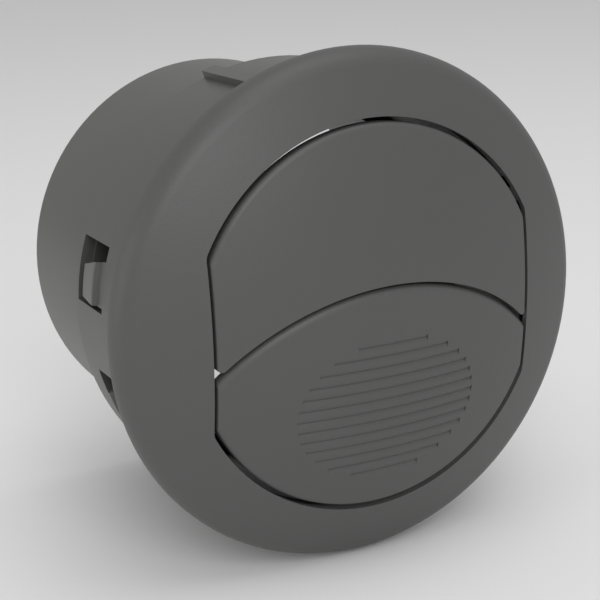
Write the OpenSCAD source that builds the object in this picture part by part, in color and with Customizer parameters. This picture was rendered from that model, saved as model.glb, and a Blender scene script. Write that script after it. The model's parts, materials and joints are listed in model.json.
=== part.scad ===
// Round dashboard air vent with two linked flaps in a turning carrier.
// The vent's axis is Y, and +Y runs into the dash. The origin is on the axis, in the rear
// face of the housing's flange, which seats on the dash. X is to the right and Z is up.

/* [Face] */
// Radius of the sphere that the whole face is part of
dome_r = 110; // [105:1:120]
// How far the bezel reaches past the housing's flange
rim_over = 1; // [0.6:0.1:1.5]
// Height of the bezel's side up to the dome
rim_h = 3.6; // [3.2:0.1:5]
// Rounding of the bezel's outer edge
rim_round = 5.2; // [4:0.1:6]
// Wall of the bezel
bezel_wall = 2.2; // [1.8:0.1:2.5]
// How far the opening's arcs stand inside the drum's bore
opening_in = 0.75; // [0.5:0.05:1.2]
// How much the opening's straight sides cut off its circle
side_cut = 3.85; // [3.4:0.05:4.4]
// Rounding of the opening's four corners
opening_corner = 3; // [2:0.1:3.5]

/* [Flaps] */
// Gap round the flaps at the top and bottom arcs
arc_gap = 0.95; // [0.8:0.05:1.2]
// Gap at each straight side
side_gap = 0.6; // [0.55:0.05:0.8]
// Gap between the two flaps
seam_gap = 0.5; // [0.4:0.05:0.7]
// Height of the seam above the axis in the middle
seam_top = 7.8; // [7:0.1:8.4]
// Depth of the seam below the axis at the straight sides
seam_drop = 6.2; // [5.5:0.1:7]
// Wall of the flap shells
flap_wall = 2.2; // [1.8:0.1:2.4]
// Rounding of the flap's edge at the top and bottom arcs
flap_edge = 1.2; // [0.8:0.1:1.6]
// Rounding of the flap's edge at the straight sides
side_edge = 0.6; // [0.4:0.1:1]
// Rounding of the lower flap's edge along the seam
seam_roll = 1.7; // [1.2:0.1:2]
// Rounding of the flaps' outer corners
flap_corner = 3.5; // [3:0.1:4]
// Rounding of the upper flap's corners at the seam
upper_tip = 0.8; // [0.5:0.1:1.2]
// Rounding of the lower flap's corners at the seam
lower_tip = 2.2; // [1.5:0.1:3]

/* [Thumb grip] */
// Width of the oval of thumb grooves
grip_w = 38.4; // [34:0.2:42]
// Height of the oval
grip_h = 28.4; // [24:0.2:29]
// Distance of the oval's middle below the axis
grip_drop = 16.3; // [15:0.1:17]
// Distance from groove to groove
groove_pitch = 2.18; // [1.8:0.02:2.6]
// Width of the flat crest between two grooves
ridge_land = 0.6; // [0.4:0.05:0.9]
// Depth of a groove
groove_depth = 0.35; // [0.25:0.05:0.5]

/* [Flap mechanism] */
// Distance of each flap's pivot above or below the axis
pivot_z = 12; // [11.5:0.1:12.5]
// Distance of the pivots in front of the flange's rear face
pivot_y = 5.5; // [5.2:0.1:5.8]
// Diameter of the pivot pins
pivot_pin_d = 3; // [2.6:0.1:3.2]
// Wall of the pivot bushes
bush_wall = 1; // [0.8:0.1:1.2]
// Thickness of the bush's flange
bush_flange = 0.45; // [0.3:0.05:0.48]
// Thickness of the bearing ears
ear_t = 2.6; // [2:0.1:3]
// Radius of the ears round the pivots
ear_r = 3.3; // [3:0.1:3.6]
// Thickness of the frames' curved strap
strap_t = 2; // [1.6:0.1:2.4]
// Height of the strap above the pivot
strap_up = 4; // [3:0.1:5]
// Height of the strap below the pivot
strap_down = 2.2; // [1.6:0.1:2.4]
// Distance between the frames' upright ribs
rib_pitch = 11; // [10:0.1:12]
// Thickness of the ribs
rib_t = 1.2; // [1:0.1:1.6]
// Depth of the ribs
rib_depth = 3; // [2.2:0.1:3.6]
// Thickness of the crank in the middle of each frame
crank_t = 2.6; // [2:0.1:3]
// Distance from the pivot to the crank pin
crank_r = 11; // [10:0.1:12]
// Angle of the cranks below the level with the flaps closed
crank_angle = 40; // [35:1:45]
// Diameter of the crank pins
crank_pin_d = 2.4; // [2:0.1:2.6]
// Width of the link rod
link_w = 5.4; // [4.8:0.1:6]
// Thickness of the link rod
link_t = 2.2; // [1.8:0.1:2.6]

/* [Carrier] */
// Gap between the drum and the housing's sleeve
drum_gap = 3; // [2.7:0.1:3.4]
// Wall of the drum
drum_wall = 1.8; // [1.6:0.1:2]
// Space from the drum's rear end to the housing's ledge
drum_back = 4.9; // [4:0.1:6]
// Gap between the neck and the housing's barrel
neck_gap = 2; // [1.6:0.1:2.4]
// Wall of the neck
neck_wall = 1.6; // [1.4:0.1:1.8]
// Thickness of the front plate
plate_t = 2; // [1.8:0.1:2.2]
// Thickness of the side cheeks
cheek_t = 2.2; // [1.8:0.1:2.4]
// Distance of the cheeks' rear edge behind the flange
cheek_end = 13; // [11:0.5:16]
// Thickness of the retaining ring
ring_t = 1.4; // [1.2:0.1:1.8]
// Depth of the ring's groove in the neck
ring_groove = 0.6; // [0.4:0.05:0.8]
// Thickness of the friction washer
washer_t = 1; // [0.8:0.1:1.2]

/* [Housing] */
// Diameter of the sleeve that enters the dash
sleeve_d = 90.8; // [86:0.1:96]
// Width of the flange round the sleeve
flange_w = 3.6; // [3:0.1:4.5]
// Thickness of the flange
flange_t = 1.5; // [1.2:0.1:1.8]
// Gap between the flange and the bezel that turns in front of it
turning_gap = 0.4; // [0.3:0.05:0.6]
// Wall of the sleeve
sleeve_wall = 1.9; // [1.7:0.05:2]
// Length of the sleeve
sleeve_len = 26.7; // [26:0.1:28]
// Diameter of the rear barrel
barrel_d = 82.4; // [78:0.1:86]
// Wall of the barrel
barrel_wall = 1.8; // [1.6:0.1:2]
// Depth behind the dash
depth = 64.5; // [50:0.5:75]
// Angle of the key rib round from the right
key_angle = 109; // [100:1:115]
// Width of the key rib
key_w = 2.8; // [2:0.1:3.5]
// Height of the key rib
key_h = 1.4; // [1:0.1:1.8]

/* [Snap clips] */
// Distance of the clip windows' front edge behind the flange
window_front = 13.1; // [12:0.1:14]
// Wall between the long windows and the sleeve's rear end
window_back = 1; // [0.8:0.1:1.6]
// Length of the short windows
short_window = 7.3; // [6.6:0.1:9]
// Slot beside and behind a tongue
tongue_slot = 1.1; // [0.9:0.1:1.4]
// Open space at the tongue's upper side
tongue_relief = 3; // [2:0.1:3.4]
// How far the hook stands out of the sleeve
hook_h = 0.8; // [0.5:0.05:1]

/* [Hidden] */

$fn = 96;
face_fn = 180;        // smoothness of what is turned about the dome's middle
cut = 1;              // how far a cutting body runs past what it cuts
big_fit = 0.25;       // radial clearance of the carrier in the housing
pin_fit = 0.08;       // radial clearance of a pin that turns
seat_fit = 0.02;      // radial clearance of a piece pressed in its seat
seat_gap = 0.15;      // gap between a shell and the frame or wall behind it
shell_grey = [0.33, 0.33, 0.33];
housing_grey = [0.29, 0.29, 0.29];
inner_grey = [0.18, 0.18, 0.18];
ring_grey = [0.12, 0.12, 0.12];
felt_grey = [0.5, 0.48, 0.44];
bearing_white = [0.85, 0.84, 0.8];
pin_steel = [0.7, 0.7, 0.72];
left = -1;
right = 1;
upper = 1;
lower = -1;

// Sleeve, drum and opening, from the outside in
sleeve_r = sleeve_d / 2;
sleeve_bore = sleeve_r - sleeve_wall;
drum_r = sleeve_bore - drum_gap;
bore_r = drum_r - drum_wall;
opening_r = bore_r - opening_in;
half_w = opening_r - side_cut;

// Face
flange_r = sleeve_r + flange_w;
bezel_r = flange_r + rim_over;
bezel_rear = -flange_t - turning_gap;
plate_front = bezel_rear - plate_t;
face_c = bezel_rear - rim_h + sqrt(pow(dome_r, 2) - pow(bezel_r, 2));
face_height = dome_r - face_c;
lip_t = 1.2;          // wall of the bezel's lip round the opening
lip_w = 0.9;          // width of that lip
collar_in = opening_r + 1.25;          // collars behind the opening's arcs
collar_out = collar_in + 1.5;
collar_half = asin((half_w - 0.8) / collar_out);
plate_r = bezel_r - bezel_wall - 0.9;  // clear of the bezel's skirt

// Flaps
flap_r = opening_r - arc_gap;
flap_w = half_w - side_gap;
flap_inner = dome_r - flap_wall;
frame_outer = flap_inner - seat_gap;
seam_y_top = face_y(seam_top);
seam_y_end = face_y(norm([half_w, seam_drop]));
seam_tilt = atan2(seam_y_end - seam_y_top, seam_top + seam_drop);
seam_r = (face_c - seam_y_top) * sin(seam_tilt) + seam_top * cos(seam_tilt);
seam_h = sqrt(pow(dome_r, 2) - pow(seam_r, 2));

// Mechanism
pivot = [-pivot_y, pivot_z];
pin_r = pivot_pin_d / 2;
bush_in = pin_r + pin_fit;
bush_r = bush_in + bush_wall;
ear_out = flap_w - 0.3;                // the ears stay behind the shell's sides
ear_in = ear_out - ear_t;
cheek_out = half_w + cheek_t;
crank = crank_r * [cos(crank_angle), -sin(crank_angle)];
crank_pin_r = crank_pin_d / 2;
link_side = 0.2;      // gap on each side of the link rod
link_x = crank_t / 2 + link_side;
link_hole = crank_pin_r + 0.12;        // loose, so that the two cranks never bind
head_t = 0.8;         // thickness and overhang of a crank pin's head
bush_rim = 0.8;       // overhang of a bush's flange
pin_chamfer = 0.4;
crank_half = 2.4;     // half of the crank's width
rib_end = 1.5;        // how far the upright ribs stop short of the flap's edges

// Housing and neck
barrel_r = barrel_d / 2;
barrel_bore = barrel_r - barrel_wall;
neck_r = barrel_bore - neck_gap;
neck_bore = neck_r - neck_wall;
ledge_t = 1.8;        // ledge inside the housing that the ring pulls against
ledge_front = sleeve_len - ledge_t;
stack_gap = 0.05;     // gap at each side of the washer and of the ring
washer_front = sleeve_len + stack_gap;
ring_front = washer_front + washer_t + stack_gap;
ring_split = 3;
neck_end = ring_front + ring_t + 1.6;  // the neck's rim behind the ring's groove
ring_r = barrel_bore - 0.3;            // clear of the barrel, which stands still
rear_chamfer = 0.6;
bearing_front = 3;    // rib round the drum that runs in the sleeve
bearing_t = 2.5;
drum_end = ledge_front - drum_back;
drum_cone = 2.5;      // length of the cone from the drum to the neck

// Legs that hold the bezel on the carrier's front plate
leg_angles = [40, 90, 140, 220, 270, 320];
leg_half = 5.5;       // half of a leg's angle
leg_slack = 1;        // angle that its slot is wider at each side
leg_t = 1.1;
leg_in = drum_r + 0.9;                 // room to bend in while it snaps through
leg_out = sleeve_bore - 0.3;
slot_in = drum_r + 0.2;
slot_out = leg_in + leg_t + 0.1;
leg_hook = bezel_rear + stack_gap;     // flat face of the hook behind the plate
hook_land = 0.85;
leg_end = bezel_rear + 2.2;

// Clips on the left: first angle, last angle, and the window's rear edge
clips = [[161, 177.3, sleeve_len - window_back], [194, 208, window_front + short_window]];
tongue_tip = 2.3;     // from a tongue's tip to its window's rear edge
window_in = 0.4;      // how far the windows are cut into the ledge behind them
hook_start = 2.4;     // from the window's front edge to the foot of the hook
hook_rise = 0.6;      // length of the hook's steep face
hook_top = 0.8;       // length of its flat top
hook_root = 0.5;      // how deep the hook's body goes into the tongue
tongue_slope = 14;    // angle of the tongue's upper side

function face_y(r) = face_c - sqrt(pow(dome_r, 2) - pow(r, 2));
// Height of the seam at distance x from the middle, seen from the front
function seam_z(x) = seam_top - (seam_r - sqrt(pow(seam_r, 2) - x * x)) * cos(seam_tilt);
// Angle at which the seam falls there
function seam_slope(x) = atan(x / sqrt(pow(seam_r, 2) - x * x) * cos(seam_tilt));
function unit(v) = v / norm(v);
// Middle of a rounding of radius e that touches a circle of radius r and the line x = w
function corner_mid(r, w, e) = [w - e, sqrt(pow(r - e, 2) - pow(w - e, 2))];

// What a rounding takes off a corner: c is its middle, a and b point to where it touches
module corner_waste(c, a, b, e) {
    reach = 2.5 * e;
    difference() {
        polygon([c, c + reach * a, c + reach * (a + b) / (1 + a * b), c + reach * b]);
        translate(c) circle(e);
    }
}

// Revolve about the vent's axis: the outline's x is the radius and its y is Y
module turned() {
    rotate([-90, 0, 0]) rotate_extrude() children();
}

// The same over a sector, with angles from the right towards the top
module sector(from, to) {
    rotate([-90, 0, 0]) rotate([0, 0, -to]) rotate_extrude(angle = to - from) children();
}

// Revolve about an axis through the dome's middle, tilted up from Y: y points forward
module domed(tilt = 0) {
    translate([0, face_c, 0]) rotate([90 + tilt, 0, 0]) rotate_extrude($fn = face_fn) children();
}

// Extrude an outline in X and Z from y0 to y1
module through(y0, y1) {
    translate([0, y1, 0]) rotate([90, 0, 0]) linear_extrude(y1 - y0) children();
}

// Extrude an outline in Y and Z from x0 to x1
module across(x0, x1) {
    translate([x0, 0, 0]) rotate([90, 0, 90]) linear_extrude(x1 - x0) children();
}

module on_both_sides() {
    children();
    mirror([1, 0, 0]) children();
}

module half_disc(r) {
    intersection() {
        circle(r, $fn = face_fn);
        translate([0, r / 2]) square([r, r / 2]);
    }
}

// Cap of a sphere out to radius r from the axis, with its rim rounded by e
module rounded_cap(sphere_r, r, e) {
    c = corner_mid(sphere_r, r, e);
    difference() {
        intersection() {
            half_disc(sphere_r);
            square([r, sphere_r + cut]);
        }
        corner_waste(c, unit(c), [1, 0], e);
    }
}

// Outline with top and bottom arcs, straight sides and four rounded corners
module opening_outline(r, w, e) {
    c = corner_mid(r, w, e);
    difference() {
        intersection() {
            circle(r, $fn = face_fn);
            square([2 * w, 2 * r], center = true);
        }
        for (sx = [0, 1], sz = [0, 1]) mirror([sx, 0]) mirror([0, sz])
            corner_waste(c, unit(c), [1, 0], e);
    }
}

// Everything within radius r of the dome's middle
module ball(r) {
    domed() half_disc(r);
}

// Side of the seam below it, moved down by gap, with its edge rounded by e
module below_seam(gap, e) {
    a = [seam_r - gap, seam_h];
    m = [cos(seam_tilt), -sin(seam_tilt)];
    turn = seam_tilt - asin((e - a * m) / (dome_r - e));
    c = (dome_r - e) * [sin(turn), cos(turn)];
    side = [sin(seam_tilt), cos(seam_tilt)];
    fall = 40;        // how far the cutting body runs behind and in front of the face
    rise = 8;
    domed(seam_tilt) difference() {
        intersection() {
            half_disc(dome_r + cut);
            polygon([[0, seam_h - fall], a - fall * side, a + rise * side,
                     [0, dome_r + 2 * cut]]);
        }
        if (e > 0) corner_waste(c, unit(c), m, e);
    }
}

// What rounds a flap's corners where the seam meets the straight sides
module seam_corners(half, e) {
    slope = seam_slope(flap_w - e * (1 + half * sin(seam_slope(flap_w - e))));
    out = -half * [sin(slope), cos(slope)];
    x = flap_w - e + (e + seam_gap / 2) * out[0];
    c = [x, seam_z(x)] - (e + seam_gap / 2) * out;
    through(-face_height - cut, 0) for (s = [0, 1]) mirror([s, 0])
        corner_waste(c, out, [1, 0], e);
}

// Both flaps' shell before the seam divides it
module flap_blank() {
    c = corner_mid(dome_r, flap_w, side_edge);
    difference() {
        intersection() {
            domed() rounded_cap(dome_r, flap_r, flap_edge);
            through(face_c - dome_r - cut, 0) opening_outline(flap_r, flap_w, flap_corner);
            // straight sides, rounded where they meet the dome
            translate([0, face_c, 0]) rotate([0, 90, 0]) rotate_extrude($fn = face_fn)
                difference() {
                    intersection() {
                        circle(dome_r, $fn = face_fn);
                        translate([dome_r / 2, -flap_w]) square([dome_r / 2, 2 * flap_w]);
                    }
                    for (s = [0, 1]) mirror([0, s])
                        corner_waste([c[1], c[0]], unit([c[1], c[0]]), [0, 1], side_edge);
                }
        }
        ball(flap_inner);
    }
}

// Grooves with convex flanks that leave round-backed ridges, cut to the oval's outline
module thumb_grooves() {
    count = ceil(grip_h / 2 / groove_pitch) - 1;
    // middle of a ridge's round back, below the face, and its radius
    back = (pow(groove_pitch, 2) - pow(ridge_land, 2)) / 8 / groove_depth + groove_depth / 2;
    back_r = norm([back, ridge_land / 2]);
    for (i = [-count : count]) {
        z = i * groove_pitch;
        half_x = grip_w / 2 * sqrt(1 - pow(2 * z / grip_h, 2));
        tilt = asin((z - grip_drop) / dome_r);
        half_a = asin(half_x / (dome_r * cos(tilt)));
        translate([0, face_c, 0]) rotate([0, 0, -90 - half_a])
            rotate_extrude(angle = 2 * half_a) rotate(tilt) translate([dome_r, 0])
                difference() {
                    translate([-2 * groove_depth, -groove_pitch / 2])
                        square([3 * groove_depth, groove_pitch]);
                    for (side = [-1, 1])
                        translate([-back, side * groove_pitch / 2]) circle(back_r);
                }
    }
}

// Layer of the inner frame, t thick, that follows the inside of the flap's shell
module frame_layer(t) {
    difference() {
        ball(frame_outer);
        ball(frame_outer - t);
    }
}

// Upright rib at distance x from the middle, from near the arc to near the seam
module upright_rib(x, half) {
    arc_end = sqrt(pow(flap_r - rib_end, 2) - pow(abs(x) + rib_t / 2, 2));
    from = half == lower ? -arc_end : seam_z(abs(x) - rib_t / 2) + rib_end;
    to = half == lower ? seam_z(abs(x) + rib_t / 2) - 2 * rib_end : arc_end;
    translate([x - rib_t / 2, from]) square([rib_t, to - from]);
}

// Inner frame: strap and ribs behind the shell, two bearing ears and the crank
module flap_frame(half) {
    z = half * pivot_z;
    mid = [pivot[0], z];
    tip = mid + crank;
    front = -face_height;
    up = crank_half * [sin(crank_angle), cos(crank_angle)];
    flare = 1.3;      // how much wider the crank is at the pivot than at its tip
    difference() {
        union() {
            intersection() {
                frame_layer(strap_t);
                through(front, 0) translate([-ear_out, z - strap_down])
                    square([2 * ear_out, strap_up + strap_down]);
            }
            intersection() {
                frame_layer(rib_depth);
                through(front, 0) for (k = [-2, -1, 1, 2]) upright_rib(k * rib_pitch, half);
            }
            intersection() {
                ball(frame_outer);
                union() {
                    on_both_sides() across(ear_in, ear_out) {
                        translate(mid) circle(ear_r);
                        polygon([mid + [0, ear_r], mid - [0, ear_r],
                                 [front, z - strap_down], [front, z + strap_up]]);
                    }
                    across(-crank_t / 2, crank_t / 2) {
                        translate(tip) circle(link_w / 2);
                        polygon([[front, z - strap_down], [front, z + strap_up],
                                 mid + flare * up, tip + up, tip - up, mid - flare * up]);
                    }
                }
            }
        }
        on_both_sides() across(ear_in - cut, ear_out + cut)
            translate(mid) circle(pin_r + seat_fit);
        across(-crank_t, crank_t) translate(tip) circle(crank_pin_r + seat_fit);
    }
}

module bush(side, half) {
    translate([side * half_w, pivot[0], half * pivot_z]) rotate([0, side * 90, 0])
        difference() {
            union() {
                cylinder(r = bush_r, h = cheek_t);
                translate([0, 0, -bush_flange]) cylinder(r = bush_r + bush_rim, h = bush_flange);
            }
            translate([0, 0, -cut]) cylinder(r = bush_in, h = cheek_t + 2 * cut);
        }
}

module pivot_pin(side, half) {
    straight = cheek_out - ear_in - pin_chamfer;
    translate([side * ear_in, pivot[0], half * pivot_z]) rotate([0, side * 90, 0]) {
        cylinder(r = pin_r, h = straight);
        translate([0, 0, straight])
            cylinder(r1 = pin_r, r2 = pin_r - pin_chamfer, h = pin_chamfer);
    }
}

module crank_pin(half) {
    shank = crank_t / 2 + link_x + link_t + link_side;
    translate([-crank_t / 2, pivot[0] + crank[0], half * pivot_z + crank[1]])
        rotate([0, 90, 0]) {
            cylinder(r = crank_pin_r, h = shank);
            translate([0, 0, shank]) cylinder(r = crank_pin_r + head_t, h = head_t);
        }
}

// Wall of the housing as an outline in radius and Y
module housing_outline() {
    polygon([
        [sleeve_bore, -flange_t], [flange_r, -flange_t], [flange_r, 0],
        [sleeve_r, 0], [sleeve_r, sleeve_len], [barrel_r, sleeve_len],
        [barrel_r, depth - rear_chamfer], [barrel_r - rear_chamfer, depth],
        [barrel_bore, depth],
        [barrel_bore, sleeve_len], [neck_r + big_fit, sleeve_len],
        [neck_r + big_fit, ledge_front], [sleeve_bore, ledge_front]]);
}

// Sweep over the width of a snap tongue, less its sloping upper side
module on_tongue(clip) {
    from = clip[0] + tongue_relief / sleeve_r * 180 / PI;
    to = clip[1] - tongue_slot / sleeve_r * 180 / PI;
    waste = 4;
    difference() {
        sector(from, to) children();
        rotate([0, -from, 0])
            translate([sleeve_bore - 2 * cut, window_front + hook_start / 2, -waste])
                rotate([tongue_slope, 0, 0])
                    cube([sleeve_wall + hook_h + 4 * cut, clip[2] - window_front, waste]);
    }
}

// Hook with its steep face to the front and its ramp to the rear, on a tongue that ends at tip
module hook_outline(tip) {
    catch = window_front + hook_start;
    top = catch + hook_rise;
    polygon([
        [sleeve_r - hook_root, catch], [sleeve_r, catch], [sleeve_r + hook_h, top],
        [sleeve_r + hook_h, top + hook_top], [sleeve_r, tip - tongue_slot / 4],
        [sleeve_r - hook_root, tip - tongue_slot / 4]]);
}

module housing() {
    color(housing_grey) {
        difference() {
            union() {
                turned() housing_outline();
                rotate([0, -key_angle, 0]) translate([sleeve_r - cut, 0, -key_w / 2])
                    cube([key_h + cut, sleeve_len, key_w]);
            }
            // each window is cut round its tongue
            on_both_sides() for (c = clips) difference() {
                sector(c[0], c[1]) translate([sleeve_bore - window_in, window_front])
                    square([sleeve_wall + window_in + cut, c[2] - window_front]);
                on_tongue(c) translate([sleeve_bore - window_in - cut, window_front - cut])
                    square([sleeve_wall + window_in + 3 * cut,
                            c[2] - window_front - tongue_tip + cut]);
            }
        }
        on_both_sides() for (c = clips) on_tongue(c) hook_outline(c[2] - tongue_tip);
    }
}

module bezel() {
    color(shell_grey) {
        difference() {
            intersection() {
                domed() rounded_cap(dome_r, bezel_r, rim_round);
                through(-face_height - cut, bezel_rear) circle(bezel_r + cut);
            }
            domed() rounded_cap(dome_r - bezel_wall, bezel_r - bezel_wall,
                                rim_round - bezel_wall);
            through(-face_height - cut, 0)
                opening_outline(opening_r, half_w, opening_corner);
            // thinner lip round the opening, for the flaps' corners as they swing
            intersection() {
                ball(dome_r - lip_t);
                through(-face_height, 0)
                    opening_outline(opening_r + lip_w, half_w + lip_w, opening_corner + lip_w);
            }
        }
        // collars behind the top and bottom arcs
        for (a = [90, 270]) intersection() {
            sector(a - collar_half, a + collar_half) translate([collar_in, -face_height])
                square([collar_out - collar_in, face_height + plate_front]);
            ball(dome_r - bezel_wall / 2);
        }
        // legs that snap behind the carrier's front plate
        for (a = leg_angles) intersection() {
            sector(a - leg_half, a + leg_half) polygon([
                [leg_in, -face_height], [leg_in + leg_t, -face_height],
                [leg_in + leg_t, leg_hook], [leg_out, leg_hook],
                [leg_out, leg_hook + hook_land], [leg_in + leg_t / 3, leg_end],
                [leg_in, leg_end]]);
            ball(dome_r - bezel_wall / 2);
        }
    }
}

module carrier() {
    color(inner_grey) difference() {
        union() {
            turned() polygon([
                [bore_r, plate_front], [drum_r, plate_front],
                [drum_r, bearing_front], [sleeve_bore - big_fit, bearing_front],
                [sleeve_bore - big_fit, bearing_front + bearing_t],
                [drum_r, bearing_front + bearing_t], [drum_r, drum_end],
                [neck_r, drum_end + drum_cone], [neck_r, neck_end], [neck_bore, neck_end],
                [neck_bore, drum_end + drum_cone], [bore_r, drum_end]]);
            // front plate, and cheeks with the flap bearings, just behind the bezel
            intersection() {
                union() {
                    turned() translate([bore_r + drum_wall / 2, plate_front])
                        square([plate_r - bore_r - drum_wall / 2, plate_t]);
                    on_both_sides() intersection() {
                        translate([half_w, -face_height, -drum_r])
                            cube([cheek_t, face_height + cheek_end, 2 * drum_r]);
                        through(-face_height, cheek_end) circle(bore_r + drum_wall / 2);
                    }
                }
                ball(dome_r - bezel_wall - seat_gap);
            }
        }
        // bush seats
        on_both_sides() for (half = [upper, lower])
            across(half_w - cut, cheek_out + cut)
                translate([pivot[0], half * pivot_z]) circle(bush_r + seat_fit);
        // slots for the bezel's legs
        for (a = leg_angles) sector(a - leg_half - leg_slack, a + leg_half + leg_slack)
            translate([slot_in, plate_front - cut])
                square([slot_out - slot_in, plate_t + 2 * cut]);
        // groove of the retaining ring
        turned() translate([neck_r - ring_groove, ring_front - stack_gap])
            square([ring_groove + cut, ring_t + 2 * stack_gap]);
    }
}

module retaining_ring() {
    ring_in = neck_r - ring_groove + stack_gap;
    color(ring_grey) difference() {
        turned() translate([ring_in, ring_front]) square([ring_r - ring_in, ring_t]);
        translate([-ring_split / 2, ring_front - cut, -ring_r - cut])
            cube([ring_split, ring_t + 2 * cut, ring_r - neck_bore]);
    }
}

module friction_washer() {
    washer_in = neck_r + seat_gap;
    color(felt_grey) turned() translate([washer_in, washer_front])
        square([ring_r - washer_in, washer_t]);
}

module upper_flap() {
    color(shell_grey) difference() {
        flap_blank();
        below_seam(-seam_gap / 2, 0);
        seam_corners(upper, upper_tip);
    }
}

module lower_flap() {
    color(shell_grey) difference() {
        intersection() {
            flap_blank();
            below_seam(seam_gap / 2, seam_roll);
        }
        seam_corners(lower, lower_tip);
        thumb_grooves();
    }
}

module upper_flap_frame() {
    color(inner_grey) flap_frame(upper);
}

module lower_flap_frame() {
    color(inner_grey) flap_frame(lower);
}

module link_rod() {
    low = [pivot[0] + crank[0], -pivot_z + crank[1]];
    high = [low[0], low[1] + 2 * pivot_z];
    waist = 2 / 3 * link_w;
    color(bearing_white) across(link_x, link_x + link_t) difference() {
        union() {
            for (p = [low, high]) translate(p) circle(link_w / 2);
            translate([low[0] - waist / 2, low[1]]) square([waist, 2 * pivot_z]);
        }
        for (p = [low, high]) translate(p) circle(link_hole);
    }
}

module upper_left_bush() { color(bearing_white) bush(left, upper); }
module upper_right_bush() { color(bearing_white) bush(right, upper); }
module lower_left_bush() { color(bearing_white) bush(left, lower); }
module lower_right_bush() { color(bearing_white) bush(right, lower); }
module upper_left_pin() { color(pin_steel) pivot_pin(left, upper); }
module upper_right_pin() { color(pin_steel) pivot_pin(right, upper); }
module lower_left_pin() { color(pin_steel) pivot_pin(left, lower); }
module lower_right_pin() { color(pin_steel) pivot_pin(right, lower); }
module upper_crank_pin() { color(pin_steel) crank_pin(upper); }
module lower_crank_pin() { color(pin_steel) crank_pin(lower); }

housing();
bezel();
carrier();
retaining_ring();
friction_washer();
upper_left_bush();
upper_right_bush();
lower_left_bush();
lower_right_bush();
upper_flap();
upper_flap_frame();
upper_left_pin();
upper_right_pin();
upper_crank_pin();
lower_flap();
lower_flap_frame();
lower_left_pin();
lower_right_pin();
lower_crank_pin();
link_rod();
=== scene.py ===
import json
import math

import bpy
from mathutils import Matrix, Vector


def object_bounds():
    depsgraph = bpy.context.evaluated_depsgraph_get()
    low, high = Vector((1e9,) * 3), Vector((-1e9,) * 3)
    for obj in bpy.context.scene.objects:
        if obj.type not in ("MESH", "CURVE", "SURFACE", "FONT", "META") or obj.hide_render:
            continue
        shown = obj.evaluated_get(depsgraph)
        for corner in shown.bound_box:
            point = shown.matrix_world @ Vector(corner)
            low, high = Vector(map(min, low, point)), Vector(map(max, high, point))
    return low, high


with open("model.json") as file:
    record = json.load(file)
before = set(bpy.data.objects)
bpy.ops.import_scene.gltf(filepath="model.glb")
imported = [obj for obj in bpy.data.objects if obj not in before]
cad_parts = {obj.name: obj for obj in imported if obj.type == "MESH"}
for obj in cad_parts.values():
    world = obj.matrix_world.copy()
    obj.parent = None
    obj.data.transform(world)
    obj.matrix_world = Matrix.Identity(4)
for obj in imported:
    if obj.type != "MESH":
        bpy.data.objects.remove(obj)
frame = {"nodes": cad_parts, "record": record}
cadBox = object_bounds()
print("vent loaded,", len(frame["nodes"]), "solids")


# small helpers for building node trees
def addNode(tree, kind, place=(0, 0), **settings):
    node = tree.nodes.new(kind)
    node.location = place
    for key, value in settings.items():
        setattr(node, key, value)
    return node


def wire(tree, source, target):
    tree.links.new(source, target)


def mathNode(tree, operation, first, second=None, place=(0, 0), clamp=False):
    node = addNode(tree, "ShaderNodeMath", place, operation=operation, use_clamp=clamp)
    for socket, value in zip(node.inputs, (first, second)):
        if value is None:
            continue
        if hasattr(value, "is_linked"):
            wire(tree, value, socket)
        else:
            socket.default_value = value
    return node.outputs[0]


def groupSockets(group, inputs, outputs):
    for name, kind, value in inputs:
        socket = group.interface.new_socket(name=name, in_out="INPUT", socket_type=kind)
        if value is not None:
            socket.default_value = value
    for name, kind in outputs:
        group.interface.new_socket(name=name, in_out="OUTPUT", socket_type=kind)


# surface effects that several plastics share
def leatherGrainGroup():
    # pebbled leather pattern etched in the mould: rounded cells with fine valleys between them
    group = bpy.data.node_groups.new("leatherGrain", "ShaderNodeTree")
    groupSockets(group,
                 [("Vector", "NodeSocketVector", None), ("Pebbles", "NodeSocketFloat", 1900.0),
                  ("Fine", "NodeSocketFloat", 5200.0), ("Wander", "NodeSocketFloat", .35)],
                 [("Height", "NodeSocketFloat"), ("Tops", "NodeSocketFloat")])
    ins = addNode(group, "NodeGroupInput", (-900, 0))
    outs = addNode(group, "NodeGroupOutput", (900, 0))
    bend = addNode(group, "ShaderNodeTexNoise", (-700, -200))
    bend.inputs["Detail"].default_value = 1.0
    wire(group, ins.outputs["Vector"], bend.inputs["Vector"])
    wire(group, ins.outputs["Pebbles"], bend.inputs["Scale"])
    cells = addNode(group, "ShaderNodeTexVoronoi", (-300, 150), feature="SMOOTH_F1")
    cells.inputs["Smoothness"].default_value = .35
    wire(group, ins.outputs["Vector"], cells.inputs["Vector"])
    wire(group, ins.outputs["Pebbles"], cells.inputs["Scale"])
    small = addNode(group, "ShaderNodeTexVoronoi", (-300, -150), feature="SMOOTH_F1")
    small.inputs["Smoothness"].default_value = .5
    wire(group, ins.outputs["Vector"], small.inputs["Vector"])
    wire(group, ins.outputs["Fine"], small.inputs["Scale"])
    big = mathNode(group, "SUBTRACT", 1.0, cells.outputs["Distance"], (0, 150))
    little = mathNode(group, "SUBTRACT", 1.0, small.outputs["Distance"], (0, -150))
    little = mathNode(group, "MULTIPLY", little, .35, (180, -150))
    wander = mathNode(group, "MULTIPLY", bend.outputs["Fac"], ins.outputs["Wander"], (180, -320))
    height = mathNode(group, "ADD", big, little, (360, 0))
    height = mathNode(group, "ADD", height, wander, (540, 0))
    tops = addNode(group, "ShaderNodeMapRange", (540, 200))
    tops.inputs["From Min"].default_value = .45
    tops.inputs["From Max"].default_value = .95
    wire(group, big, tops.inputs["Value"])
    wire(group, height, outs.inputs["Height"])
    wire(group, tops.outputs[0], outs.inputs["Tops"])
    return group


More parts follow.
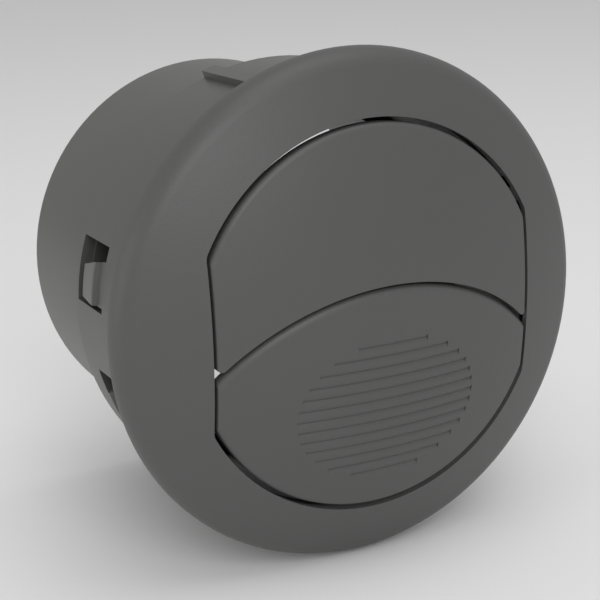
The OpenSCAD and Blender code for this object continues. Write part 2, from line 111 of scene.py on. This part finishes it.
def mouldedToneGroup():
    # slow drift of tone and gloss that a moulded wall shows, with a little dust in it
    group = bpy.data.node_groups.new("mouldedTone", "ShaderNodeTree")
    groupSockets(group,
                 [("Vector", "NodeSocketVector", None), ("Colour", "NodeSocketColor", (.08, .08, .08, 1)),
                  ("Drift", "NodeSocketFloat", .08), ("Clouds", "NodeSocketFloat", 35.0),
                  ("Gloss", "NodeSocketFloat", .45), ("Gloss drift", "NodeSocketFloat", .08)],
                 [("Colour", "NodeSocketColor"), ("Roughness", "NodeSocketFloat"), ("Mask", "NodeSocketFloat")])
    ins = addNode(group, "NodeGroupInput", (-900, 0))
    outs = addNode(group, "NodeGroupOutput", (900, 0))
    clouds = addNode(group, "ShaderNodeTexNoise", (-600, 100))
    clouds.inputs["Detail"].default_value = 3.0
    wire(group, ins.outputs["Vector"], clouds.inputs["Vector"])
    wire(group, ins.outputs["Clouds"], clouds.inputs["Scale"])
    centred = mathNode(group, "SUBTRACT", clouds.outputs["Fac"], .5, (-400, 100))
    tone = mathNode(group, "MULTIPLY", centred, ins.outputs["Drift"], (-200, 100))
    tone = mathNode(group, "ADD", tone, 1.0, (0, 100))
    scaled = addNode(group, "ShaderNodeVectorMath", (250, 150), operation="SCALE")
    wire(group, ins.outputs["Colour"], scaled.inputs[0])
    wire(group, tone, scaled.inputs["Scale"])
    rough = mathNode(group, "MULTIPLY", centred, ins.outputs["Gloss drift"], (-200, -150))
    rough = mathNode(group, "ADD", rough, ins.outputs["Gloss"], (0, -150))
    wire(group, scaled.outputs[0], outs.inputs["Colour"])
    wire(group, rough, outs.inputs["Roughness"])
    wire(group, clouds.outputs["Fac"], outs.inputs["Mask"])
    return group


leatherGrain = leatherGrainGroup()
mouldedTone = mouldedToneGroup()


def startMaterial(name):
    material = bpy.data.materials.new(name)
    material.use_nodes = True
    tree = material.node_tree
    shader = tree.nodes["Principled BSDF"]
    place = addNode(tree, "ShaderNodeTexCoord", (-1400, 0))
    return material, tree, shader, place.outputs["Object"]


def useGroup(tree, group, vector, place, **values):
    node = addNode(tree, "ShaderNodeGroup", place)
    node.node_tree = group
    wire(tree, vector, node.inputs["Vector"])
    for name, value in values.items():
        node.inputs[name.replace("_", " ")].default_value = value
    return node


grainedShell = {"colour": (.076, .078, .075, 1), "roughness": .47, "pebbles": 1900.0, "fine": 4600.0,
                "grainDepth": .00003, "strength": .55}
housingPlastic = {"colour": (.072, .073, .068, 1), "roughness": .38, "ripple": 420.0, "strength": .08}
innerPlastic = {"colour": (.03, .03, .031, 1), "roughness": .5, "ripple": 600.0, "strength": .1}
ringPlastic = {"colour": (.016, .016, .017, 1), "roughness": .42, "ripple": 500.0, "strength": .1}
washerFelt = {"colour": (.2, .185, .16, 1), "roughness": .95, "ripple": 2600.0, "strength": 1.0}
bearingPlastic = {"colour": (.72, .71, .67, 1), "roughness": .3, "ripple": 300.0, "strength": .06}
pinSteel = {"colour": (.56, .56, .57, 1), "roughness": .24, "ripple": 2400.0, "strength": .15}


def grainedMaterial(size):
    material, tree, shader, vector = startMaterial("grainedShell")
    tone = useGroup(tree, mouldedTone, vector, (-700, 200), Colour=size["colour"], Drift=.06, Clouds=45.0,
                    Gloss=size["roughness"], Gloss_drift=.06)
    grain = useGroup(tree, leatherGrain, vector, (-1000, -250), Pebbles=size["pebbles"], Fine=size["fine"])
    bump = addNode(tree, "ShaderNodeBump", (-300, -250))
    bump.inputs["Strength"].default_value = size["strength"]
    bump.inputs["Distance"].default_value = size["grainDepth"]
    wire(tree, grain.outputs["Height"], bump.inputs["Height"])
    wire(tree, tone.outputs["Colour"], shader.inputs["Base Color"])
    wire(tree, tone.outputs["Roughness"], shader.inputs["Roughness"])
    wire(tree, bump.outputs["Normal"], shader.inputs["Normal"])
    return material


def smoothMaterial(name, size):
    material, tree, shader, vector = startMaterial(name)
    tone = useGroup(tree, mouldedTone, vector, (-700, 200), Colour=size["colour"], Drift=.1, Clouds=60.0,
                    Gloss=size["roughness"], Gloss_drift=.1)
    ripple = addNode(tree, "ShaderNodeTexNoise", (-700, -250))
    ripple.inputs["Scale"].default_value = size["ripple"]
    wire(tree, vector, ripple.inputs["Vector"])
    bump = addNode(tree, "ShaderNodeBump", (-300, -250))
    bump.inputs["Strength"].default_value = size["strength"]
    bump.inputs["Distance"].default_value = .0001
    wire(tree, ripple.outputs["Fac"], bump.inputs["Height"])
    wire(tree, tone.outputs["Colour"], shader.inputs["Base Color"])
    wire(tree, tone.outputs["Roughness"], shader.inputs["Roughness"])
    wire(tree, bump.outputs["Normal"], shader.inputs["Normal"])
    return material


finishes = {
    "grained_shell": grainedMaterial(grainedShell),
    "housing_plastic": smoothMaterial("housingPlastic", housingPlastic),
    "inner_plastic": smoothMaterial("innerPlastic", innerPlastic),
    "ring_plastic": smoothMaterial("ringPlastic", ringPlastic),
    "felt": smoothMaterial("washerFelt", washerFelt),
    "bearing_plastic": smoothMaterial("bearingPlastic", bearingPlastic),
    "pin_steel": smoothMaterial("pinSteel", pinSteel),
}
finishes["pin_steel"].node_tree.nodes["Principled BSDF"].inputs["Metallic"].default_value = 1.0

slotOf = {row["node"]: row["material_slot"] for row in frame["record"]["subparts"]}
for name, node in frame["nodes"].items():
    for slot in node.material_slots:
        slot.material = finishes[slotOf[name]]
print("finishes on all solids")


# floor, light and camera
studio = {"floorDrop": .0004, "floorColour": (.86, .86, .86, 1), "skyLight": .55,
          "keyPower": 3.4, "fillPower": 1.2, "topPower": 2.4}
cameraView = {"azimuth": -27.80, "elevation": 16.41, "roll": -1.49, "distance": .27937, "lens": 87.0,
              "aim": (0, -.0019, 0), "sideways": .00999, "upwards": -.00136}


def makeFloor(size):
    z = cadBox[0][2] - size["floorDrop"]
    mesh = bpy.data.meshes.new("floorSheet")
    mesh.from_pydata([(-6, -6, z), (6, -6, z), (6, 6, z), (-6, 6, z)], [], [(0, 1, 2, 3)])
    floor = bpy.data.objects.new("floorSheet", mesh)
    bpy.context.scene.collection.objects.link(floor)
    material, tree, shader, vector = startMaterial("paleFloor")
    shader.inputs["Base Color"].default_value = size["floorColour"]
    shader.inputs["Roughness"].default_value = .9
    shader.inputs["Specular IOR Level"].default_value = .1
    mesh.materials.append(material)
    return floor


def makeWorld(size):
    world = bpy.data.worlds.new("studioWorld")
    world.use_nodes = True
    tree = world.node_tree
    sky = tree.nodes["Background"]
    sky.inputs["Color"].default_value = (1, 1, 1, 1)
    sky.inputs["Strength"].default_value = size["skyLight"]
    white = addNode(tree, "ShaderNodeBackground", (0, -200))
    white.inputs["Color"].default_value = (1, 1, 1, 1)
    path = addNode(tree, "ShaderNodeLightPath", (-400, 200))
    mix = addNode(tree, "ShaderNodeMixShader", (250, 0))
    wire(tree, path.outputs["Is Camera Ray"], mix.inputs[0])
    wire(tree, sky.outputs[0], mix.inputs[1])
    wire(tree, white.outputs[0], mix.inputs[2])
    wire(tree, mix.outputs[0], tree.nodes["World Output"].inputs["Surface"])
    bpy.context.scene.world = world


def addSoftbox(name, power, size, place, target=(0, 0, 0)):
    light = bpy.data.lights.new(name, "AREA")
    light.shape = "RECTANGLE"
    light.size, light.size_y = size
    light.energy = power
    lamp = bpy.data.objects.new(name, light)
    bpy.context.scene.collection.objects.link(lamp)
    lamp.location = place
    lamp.rotation_euler = (Vector(target) - Vector(place)).to_track_quat("-Z", "Y").to_euler()
    return lamp


def makeCamera(view):
    a, e = math.radians(view["azimuth"]), math.radians(view["elevation"])
    back = Vector((math.sin(a) * math.cos(e), -math.cos(a) * math.cos(e), math.sin(e)))
    right = Vector((math.cos(a), math.sin(a), 0))
    up = back.cross(right)
    r = math.radians(view["roll"])
    side = math.cos(r) * right + math.sin(r) * up
    top = -math.sin(r) * right + math.cos(r) * up
    lens = bpy.data.cameras.new("photoCamera")
    lens.lens = view["lens"]
    lens.sensor_width = 36
    lens.clip_start = .01
    camera = bpy.data.objects.new("photoCamera", lens)
    bpy.context.scene.collection.objects.link(camera)
    place = Vector(view["aim"]) + back * view["distance"] - side * view["sideways"] - top * view["upwards"]
    turn = Matrix((side, top, back)).transposed().to_4x4()
    camera.matrix_world = Matrix.Translation(place) @ turn
    bpy.context.scene.camera = camera
    return camera


makeFloor(studio)
makeWorld(studio)
addSoftbox("keySoftbox", studio["keyPower"], (.55, .55), (-.30, -.80, .55))
addSoftbox("topSoftbox", studio["topPower"], (.9, .6), (.1, -.15, 1.0))
addSoftbox("leftFill", studio["fillPower"], (.6, .6), (-.85, .15, .05))
makeCamera(cameraView)
bpy.context.scene.view_settings.view_transform = "Standard"
print("studio ready")
